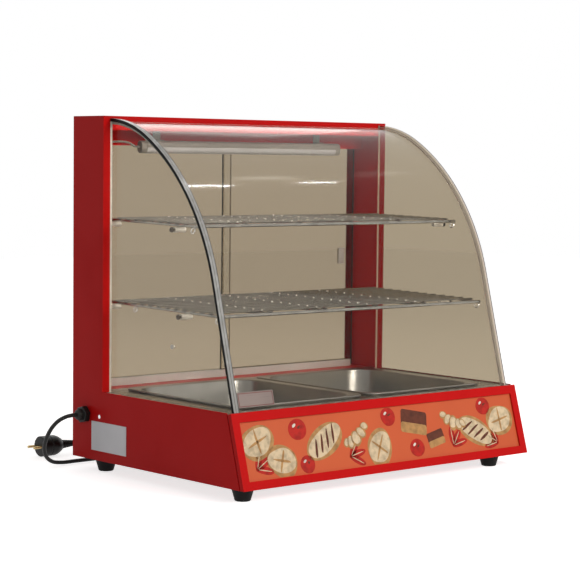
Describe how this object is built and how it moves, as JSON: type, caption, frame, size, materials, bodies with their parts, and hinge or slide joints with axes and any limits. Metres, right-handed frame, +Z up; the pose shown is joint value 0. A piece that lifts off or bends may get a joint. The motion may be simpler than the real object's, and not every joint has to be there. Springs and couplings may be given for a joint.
{
  "type": "heated display case",
  "caption": "Counter-top food warmer with a curved glass front, glass sides, wire shelves, drop-in pans and sliding rear doors on a red sheet-metal base.",
  "frame": {"origin": "centre of the footprint, on the table the feet stand on", "axes": "+X to the right seen from the front, +Y to the back where the doors are, +Z up"},
  "size_m": [0.7211, 0.6161, 0.61],
  "materials": {
    "red_paint": "gloss red powder coat",
    "steel": "brushed stainless sheet",
    "chrome": "bright plated wire",
    "glass": "clear tempered glass",
    "white_plastic": "white moulding",
    "black_plastic": "black moulding",
    "grey_plastic": "grey moulding",
    "lamp_white": "white translucent diffuser",
    "rubber": "black rubber",
    "picture": "printed sheet, orange, cream and red",
    "dark_steel": "dull heat-stained steel",
    "plate": "blank plate",
    "amber": "amber lens",
    "red_rocker": "red rocker",
    "green_rocker": "green rocker"
  },
  "bodies": {
    "case": {"left_side_panel": "red_paint", "right_side_panel": "red_paint", "base_floor": "red_paint", "front_cover": "red_paint", "rear_panel": "red_paint", "roof": "red_paint", "rear_header": "red_paint", "front_left_foot": "rubber", "front_right_foot": "rubber", "rear_left_foot": "rubber", "rear_right_foot": "rubber", "cord_lead": "rubber", "cord_coil": "rubber", "picture_panel": "picture", "front_wall": "steel", "deck": "steel", "heat_well": "steel", "left_lamp_bracket": "steel", "right_lamp_bracket": "steel", "left_heater": "dark_steel", "right_heater": "dark_steel", "thermostat": "dark_steel", "front_glass": "glass", "left_glass_pane": "glass", "right_glass_pane": "glass", "left_side_screw": "chrome", "right_side_screw": "chrome", "upper_front_left_peg": "white_plastic", "upper_rear_left_peg": "white_plastic", "lower_front_left_peg": "white_plastic", "lower_rear_left_peg": "white_plastic", "upper_front_right_peg": "white_plastic", "upper_rear_right_peg": "white_plastic", "lower_front_right_peg": "white_plastic", "lower_rear_right_peg": "white_plastic", "hole_plug": "white_plastic", "upper_track": "white_plastic", "lower_track": "white_plastic", "lamp_housing": "grey_plastic", "lamp_lead": "grey_plastic", "lamp_tube": "lamp_white", "heat_switch": "black_plastic", "light_switch": "black_plastic", "cord_gland": "black_plastic", "coil_tie": "black_plastic", "plug": "black_plastic", "pilot_lamp": "amber", "label_plate": "plate", "badge_plate": "plate"},
    "right_door_body": {"right_door": "glass", "right_pull": "white_plastic"},
    "left_door_body": {"left_door": "glass", "left_pull": "white_plastic"},
    "knob_body": {"thermostat_knob": "black_plastic"},
    "heat_rocker_body": {"heat_rocker": "red_rocker"},
    "light_rocker_body": {"light_rocker": "green_rocker"},
    "left_pan_body": {"left_pan": "steel"},
    "right_pan_body": {"right_pan": "steel"},
    "upper_shelf_body": {"upper_shelf": "chrome"},
    "lower_shelf_body": {"lower_shelf": "chrome"}
  },
  "joints": [
    {"name": "right_door_slide", "type": "slide", "parent": "case", "child": "right_door_body", "axis": [-1, 0, 0], "range_m": [0, 0.31]},
    {"name": "left_door_slide", "type": "slide", "parent": "case", "child": "left_door_body", "axis": [1, 0, 0], "range_m": [0, 0.31]},
    {"name": "thermostat_turn", "type": "hinge", "parent": "case", "child": "knob_body", "pos_m": [-0.15, 0.2194, 0.085], "axis": [0, 1, 0], "range_deg": [0, 270]},
    {"name": "heat_switch_rock", "type": "hinge", "parent": "case", "child": "heat_rocker_body", "pos_m": [-0.215, 0.2196, 0.085], "axis": [-1, 0, 0], "range_deg": [0, 16]},
    {"name": "light_switch_rock", "type": "hinge", "parent": "case", "child": "light_rocker_body", "pos_m": [-0.25, 0.2196, 0.085], "axis": [-1, 0, 0], "range_deg": [0, 16]},
    {"name": "left_pan_lift", "type": "slide", "parent": "case", "child": "left_pan_body", "axis": [0, 0, 1], "range_m": [0, 0.04]},
    {"name": "right_pan_lift", "type": "slide", "parent": "case", "child": "right_pan_body", "axis": [0, 0, 1], "range_m": [0, 0.04]},
    {"name": "upper_shelf_lift", "type": "slide", "parent": "case", "child": "upper_shelf_body", "axis": [0, 0.5, 0.866], "range_m": [0, 0.03]},
    {"name": "lower_shelf_lift", "type": "slide", "parent": "case", "child": "lower_shelf_body", "axis": [0, 0.5, 0.866], "range_m": [0, 0.03]}
  ]
}
